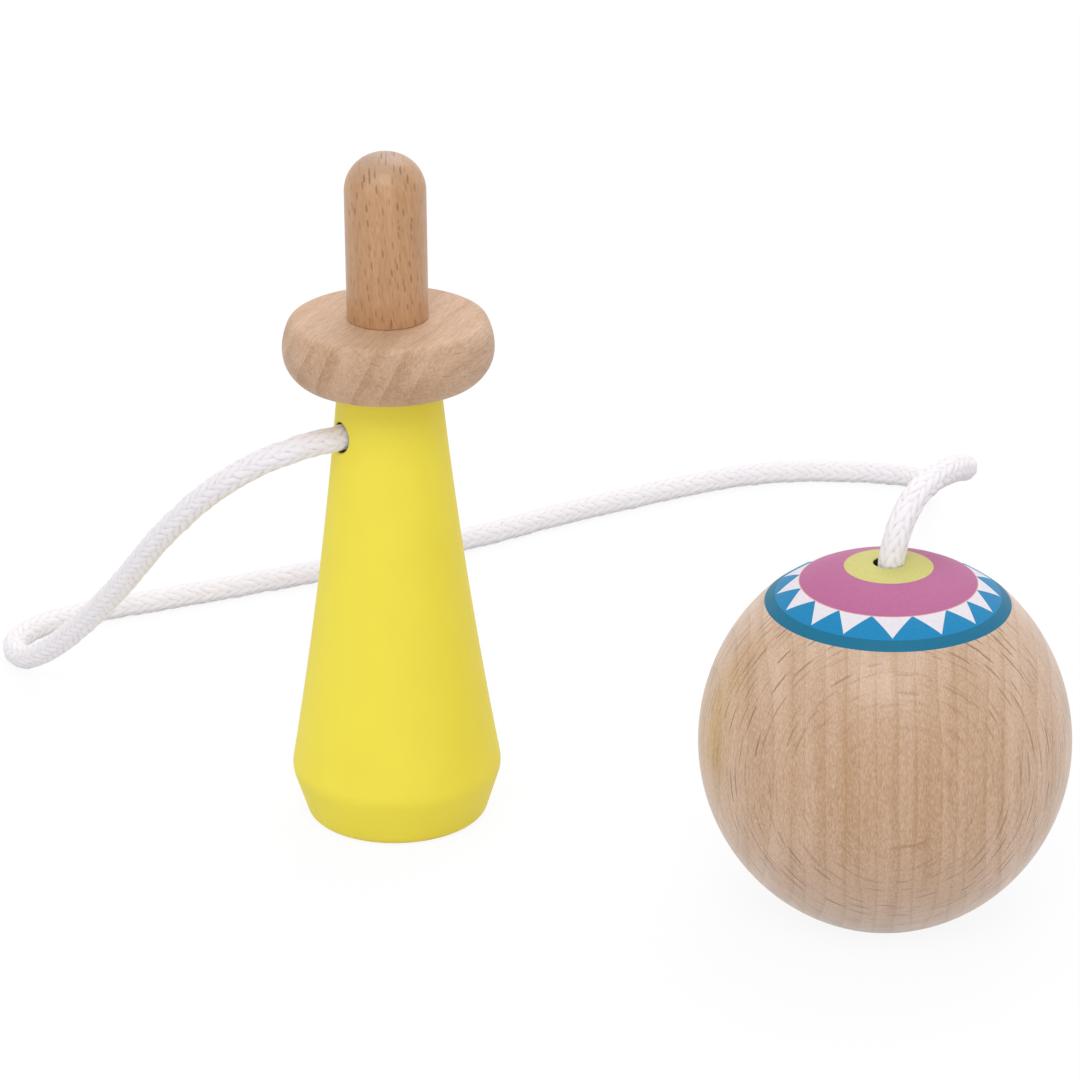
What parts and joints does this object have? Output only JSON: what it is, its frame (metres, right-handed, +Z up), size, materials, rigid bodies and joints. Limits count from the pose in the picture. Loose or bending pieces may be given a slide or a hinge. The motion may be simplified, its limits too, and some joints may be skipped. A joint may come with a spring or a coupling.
{
  "type": "cup and ball toy",
  "caption": "Turned wooden catching toy: a tapered handle with a collar and a peg, and a drilled ball with a painted crown on a braided cotton cord.",
  "frame": {"origin": "centre of the handle's foot, on the surface that the toy stands on", "axes": "+Z up the handle along the peg, +X from the handle towards the standing ball, +Y behind the handle where the cord lies"},
  "size_m": [0.2126, 0.2042, 0.117],
  "materials": {
    "yellow_paint": "matt yellow paint on turned beech",
    "collar_beech": "satin clear lacquer",
    "peg_beech": "satin clear lacquer",
    "ball_beech": "satin clear lacquer, crown painted in blue, pink, lime and white",
    "cotton_cord": "round braided cotton, slightly fuzzy"
  },
  "bodies": {
    "handle": {"handle": "yellow_paint", "collar": "collar_beech", "peg": "peg_beech", "cord": "cotton_cord"},
    "cord_end": {"ball_knot": "cotton_cord"},
    "ball": {"ball": "ball_beech"}
  },
  "joints": [
    {"name": "ball_toss", "type": "slide", "parent": "handle", "child": "cord_end", "axis": [-0.4372, 0, 0.8994], "range_m": [0, 0.2], "deforming": ["cord"]},
    {"name": "ball_spin", "type": "hinge", "parent": "cord_end", "child": "ball", "pos_m": [0.0875, 0, 0], "axis": [0, 0, 1], "continuous": true}
  ]
}
